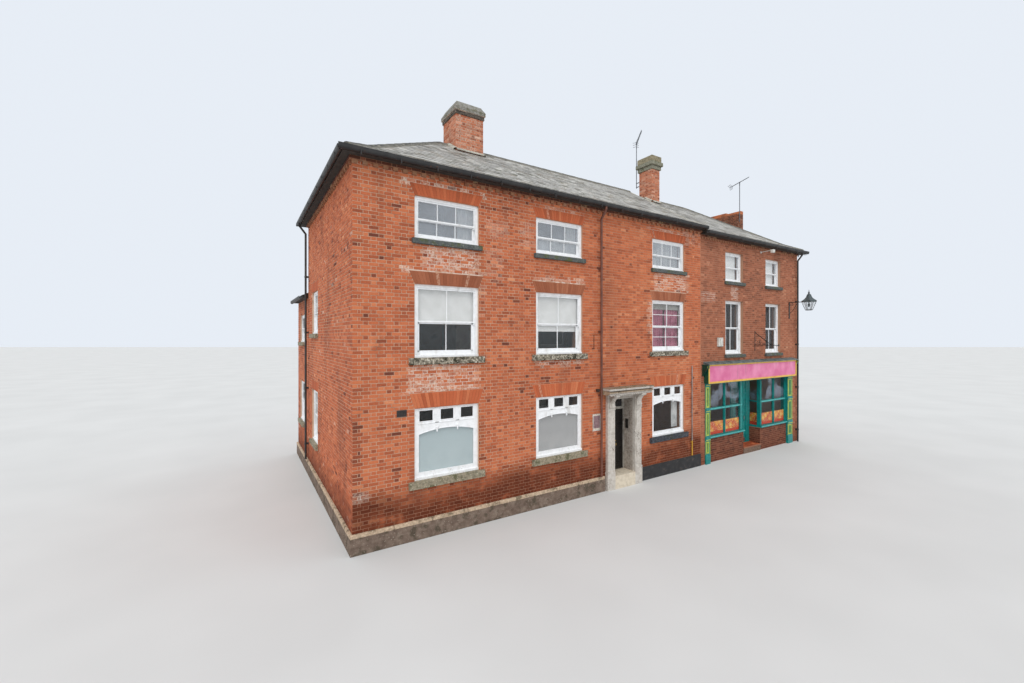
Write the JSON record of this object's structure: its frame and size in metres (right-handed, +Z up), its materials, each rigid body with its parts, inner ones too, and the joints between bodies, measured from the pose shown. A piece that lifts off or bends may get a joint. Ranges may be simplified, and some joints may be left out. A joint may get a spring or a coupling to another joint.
{
  "type": "corner shop building",
  "caption": "Brick corner building: tall hipped slate-roofed house with sash windows and a columned doorcase, joined to a shop with a glazed front and recessed lobby.",
  "frame": {"origin": "foot of the street corner, where the outer faces of the front and side walls meet at the lowest ground level", "axes": "+X along the main street front, +Y into the building, +Z up"},
  "size_m": [19.9, 10.7498, 13.3823],
  "materials": {
    "house_brick": "orange-red handmade brick in pale mortar",
    "shop_brick": "browner brick in pale mortar",
    "arch_brick": "bright orange gauged brick",
    "slate": "weathered grey slate",
    "ridge_clay": "dark weathered clay tile",
    "stone": "grey-green stone with lichen",
    "kerb_stone": "pale worn stone",
    "black_paint": "black masonry paint",
    "dark_slate": "dark slate sills",
    "white_paint": "weathered white oil paint",
    "glass": "old window glass",
    "blind_cloth": "plain white roller blind",
    "curtain_cloth": "light curtains",
    "doorcase_paint": "dirty off-white paint",
    "door_black": "gloss black paint",
    "brass": "tarnished brass",
    "fascia_panel": "pink sign panel in a yellow border",
    "lead": "dull grey lead",
    "bracket_green": "dark green paint",
    "teal_paint": "teal and yellow-green paint",
    "riser_brick": "dark brown-red brick",
    "lobby_tile": "orange-red quarry tile",
    "poster_print": "plain printed panels",
    "floor_boards": "worn boards",
    "black_iron": "black painted iron",
    "aerial_alloy": "dull alloy",
    "fitting_white": "off-white fittings"
  },
  "bodies": {
    "building": {"front_wall_left": "house_brick", "front_wall_right": "house_brick", "front_wall_over_door": "house_brick", "side_wall": "house_brick", "rear_wall": "house_brick", "party_wall": "house_brick", "shop_front_wall": "shop_brick", "shop_front_piers": "shop_brick", "shop_end_wall": "shop_brick", "shop_rear_wall": "shop_brick", "wing_side_walls": "house_brick", "wing_party_wall": "house_brick", "flat_arches": "arch_brick", "eaves_cornice": "house_brick", "plinth_kerb": "kerb_stone", "black_plinth": "black_paint", "stone_sills": "stone", "slate_sills": "dark_slate", "ground_window_frames": "white_paint", "front_sashes": "white_paint", "side_and_rear_sashes": "white_paint", "window_glass": "glass", "blinds": "blind_cloth", "curtains": "curtain_cloth", "doorcase": "doorcase_paint", "door_hood": "doorcase_paint", "door_step": "kerb_stone", "door_linings": "doorcase_paint", "front_door_frame": "doorcase_paint", "shop_fascia": "fascia_panel", "fascia_flashing": "lead", "fascia_brackets": "bracket_green", "shop_pilasters": "teal_paint", "shop_stallrisers": "riser_brick", "shop_window_frames": "teal_paint", "shop_window_glass": "glass", "lobby_step": "lobby_tile", "shop_door_frame": "bracket_green", "window_posters": "poster_print", "ground_floors": "floor_boards", "first_floors": "floor_boards", "second_floors": "floor_boards", "main_roof": "slate", "shop_roof": "slate", "wing_roof": "slate", "ridge_tiles": "ridge_clay", "gutters": "black_iron", "downpipes": "black_iron", "chimney_west": "house_brick", "chimney_middle": "house_brick", "chimney_east": "shop_brick", "aerials": "aerial_alloy", "wall_lantern": "black_iron", "sign_bracket": "black_iron", "wall_fittings": "fitting_white"},
    "front_door": {"front_door": "door_black", "front_door_furniture": "brass"},
    "shop_door": {"shop_door": "bracket_green", "shop_door_glass": "glass"}
  },
  "joints": [
    {"name": "front_door_hinge", "type": "hinge", "parent": "building", "child": "front_door", "pos_m": [7.7175, 0.434, 0.41], "axis": [0, 0, 1], "range_deg": [0, 90]},
    {"name": "shop_door_hinge", "type": "hinge", "parent": "building", "child": "shop_door", "pos_m": [15.0925, 0.574, 0.26], "axis": [0, 0, 1], "range_deg": [0, 90]}
  ]
}
